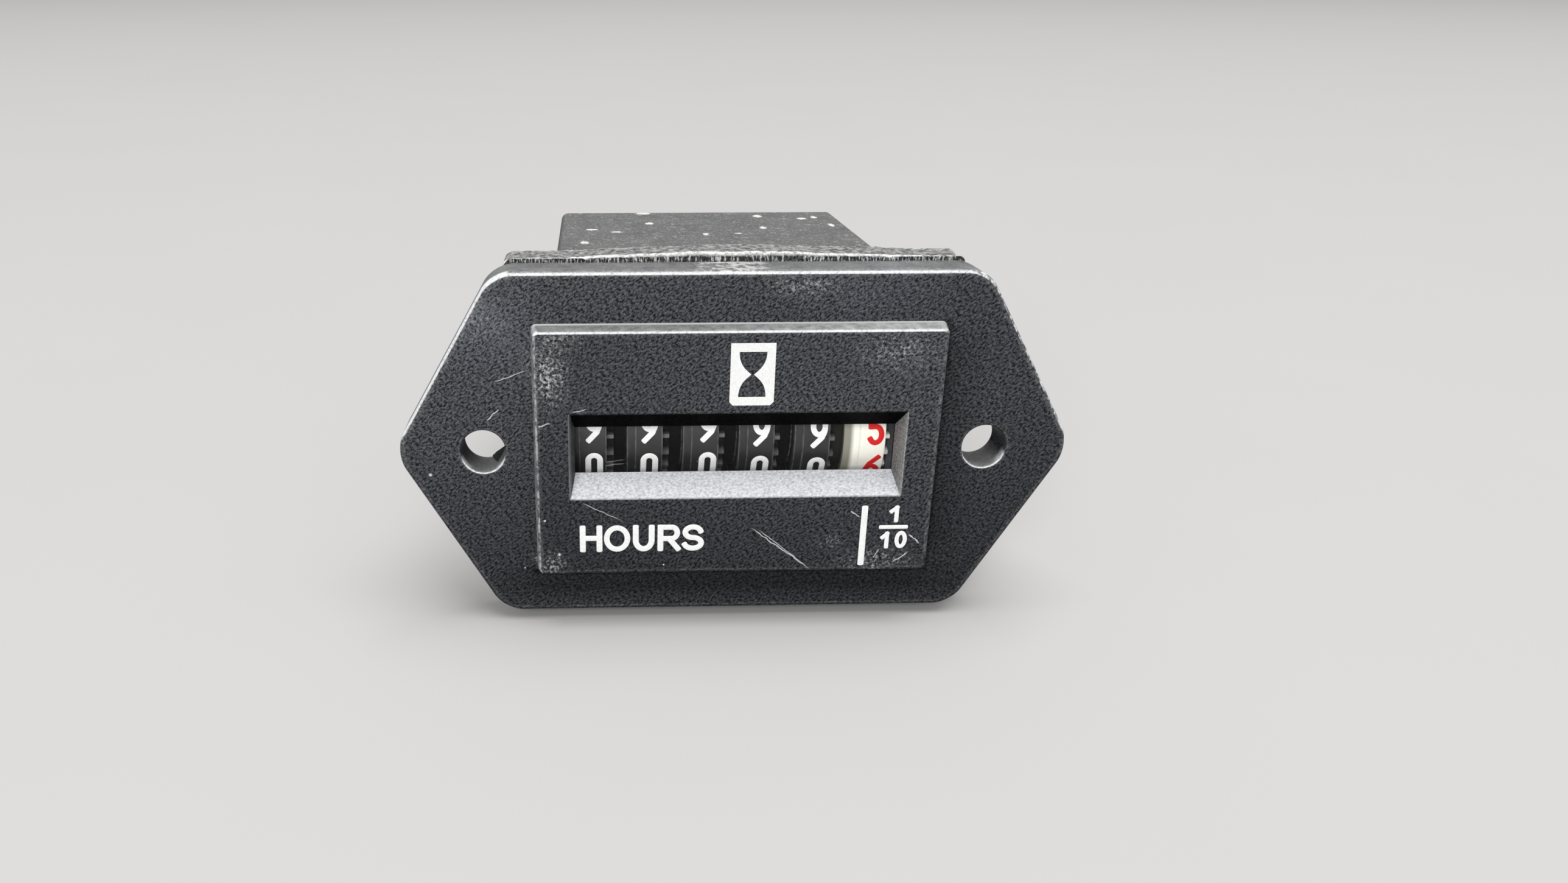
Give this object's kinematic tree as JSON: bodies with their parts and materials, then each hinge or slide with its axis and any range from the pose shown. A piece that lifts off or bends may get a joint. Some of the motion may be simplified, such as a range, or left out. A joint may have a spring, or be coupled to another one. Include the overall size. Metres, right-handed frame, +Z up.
{
  "type": "hour meter",
  "caption": "Panel hour meter: black hexagonal flange, raised face with a bevelled window over black and cream number wheels, sponge gasket and box case with blade terminals.",
  "frame": {"origin": "midway between the two screw holes, on the back of the flange", "axes": "+X to the right across the face, +Y back through the panel, +Z up"},
  "size_m": [0.0676, 0.0565, 0.0378],
  "materials": {
    "bezel_black": "fine moulded grain, scuffed, pale along the worn edges",
    "clear_plate": "clear, lightly scratched",
    "sponge": "rough cut sponge edge with dust",
    "case_black": "matt moulded, some dust",
    "wheel_black": "satin moulded",
    "wheel_cream": "satin moulded",
    "acetal": "natural acetal",
    "steel": "ground",
    "zinc": "zinc plated",
    "frame_grey": "glass-filled, matt",
    "motor_can": "drawn can, plated",
    "brass": "stamped, tin flashed",
    "board_green": "solder mask",
    "chip_black": "moulded epoxy",
    "crystal_can": "drawn can",
    "capacitor_blue": "sleeved"
  },
  "bodies": {
    "case": {"front_bezel": "bezel_black", "window_lens": "clear_plate", "panel_gasket": "sponge", "rear_case": "case_black", "wheel_shaft": "steel", "pinion_shaft": "steel", "chassis": "frame_grey", "chassis_screws": "zinc", "idler_pin": "steel", "gear_motor": "motor_can", "motor_screws": "zinc", "motor_pins": "brass", "circuit_board": "board_green", "control_chip": "chip_black", "quartz_crystal": "crystal_can", "smoothing_capacitor": "capacitor_blue", "terminal_positive": "brass", "terminal_negative": "brass"},
    "tenths": {"wheel_tenths": "wheel_cream"},
    "units": {"wheel_units": "wheel_black"},
    "units_carry": {"pinion_units": "acetal"},
    "tens": {"wheel_tens": "wheel_black"},
    "tens_carry": {"pinion_tens": "acetal"},
    "hundreds": {"wheel_hundreds": "wheel_black"},
    "hundreds_carry": {"pinion_hundreds": "acetal"},
    "thousands": {"wheel_thousands": "wheel_black"},
    "thousands_carry": {"pinion_thousands": "acetal"},
    "ten_thousands": {"wheel_ten_thousands": "wheel_black"},
    "ten_thousands_carry": {"pinion_ten_thousands": "acetal"},
    "idler": {"idler_pinion": "acetal"},
    "drive": {"drive_gear": "acetal", "output_shaft": "steel"}
  },
  "joints": [
    {"name": "tenths_spin", "type": "hinge", "parent": "case", "child": "tenths", "pos_m": [0.01438, 0.0051, 0], "axis": [-1, 0, 0], "continuous": true},
    {"name": "units_spin", "type": "hinge", "parent": "case", "child": "units", "pos_m": [0.00863, 0.0051, 0], "axis": [-1, 0, 0], "continuous": true},
    {"name": "units_carry_spin", "type": "hinge", "parent": "case", "child": "units_carry", "pos_m": [0.01112, 0.00916, 0.00703], "axis": [-1, 0, 0], "continuous": true},
    {"name": "tens_spin", "type": "hinge", "parent": "case", "child": "tens", "pos_m": [0.00287, 0.0051, 0], "axis": [-1, 0, 0], "continuous": true},
    {"name": "tens_carry_spin", "type": "hinge", "parent": "case", "child": "tens_carry", "pos_m": [0.00537, 0.00916, 0.00703], "axis": [-1, 0, 0], "continuous": true},
    {"name": "hundreds_spin", "type": "hinge", "parent": "case", "child": "hundreds", "pos_m": [-0.00287, 0.0051, 0], "axis": [-1, 0, 0], "continuous": true},
    {"name": "hundreds_carry_spin", "type": "hinge", "parent": "case", "child": "hundreds_carry", "pos_m": [-0.00038, 0.00916, 0.00703], "axis": [-1, 0, 0], "continuous": true},
    {"name": "thousands_spin", "type": "hinge", "parent": "case", "child": "thousands", "pos_m": [-0.00863, 0.0051, 0], "axis": [-1, 0, 0], "continuous": true},
    {"name": "thousands_carry_spin", "type": "hinge", "parent": "case", "child": "thousands_carry", "pos_m": [-0.00613, 0.00916, 0.00703], "axis": [-1, 0, 0], "continuous": true},
    {"name": "ten_thousands_spin", "type": "hinge", "parent": "case", "child": "ten_thousands", "pos_m": [-0.01438, 0.0051, 0], "axis": [-1, 0, 0], "continuous": true},
    {"name": "ten_thousands_carry_spin", "type": "hinge", "parent": "case", "child": "ten_thousands_carry", "pos_m": [-0.01188, 0.00916, 0.00703], "axis": [-1, 0, 0], "continuous": true},
    {"name": "idler_spin", "type": "hinge", "parent": "case", "child": "idler", "pos_m": [0.01617, 0.01322, 0], "axis": [-1, 0, 0], "continuous": true},
    {"name": "drive_spin", "type": "hinge", "parent": "case", "child": "drive", "pos_m": [0.01617, 0.02134, 0], "axis": [-1, 0, 0], "continuous": true}
  ],
  "couplings": [
    {"joint": "units_spin", "follows": "tenths_spin", "ratio": 0.1},
    {"joint": "units_carry_spin", "follows": "tenths_spin", "ratio": -0.25},
    {"joint": "tens_spin", "follows": "tenths_spin", "ratio": 0.01},
    {"joint": "tens_carry_spin", "follows": "tenths_spin", "ratio": -0.025},
    {"joint": "hundreds_spin", "follows": "tenths_spin", "ratio": 0.001},
    {"joint": "hundreds_carry_spin", "follows": "tenths_spin", "ratio": -0.0025},
    {"joint": "thousands_spin", "follows": "tenths_spin", "ratio": 0.0001},
    {"joint": "thousands_carry_spin", "follows": "tenths_spin", "ratio": -0.00025},
    {"joint": "ten_thousands_spin", "follows": "tenths_spin", "ratio": 0.00001},
    {"joint": "ten_thousands_carry_spin", "follows": "tenths_spin", "ratio": -0.000025},
    {"joint": "idler_spin", "follows": "tenths_spin", "ratio": -2.5},
    {"joint": "drive_spin", "follows": "tenths_spin", "ratio": 1}
  ]
}
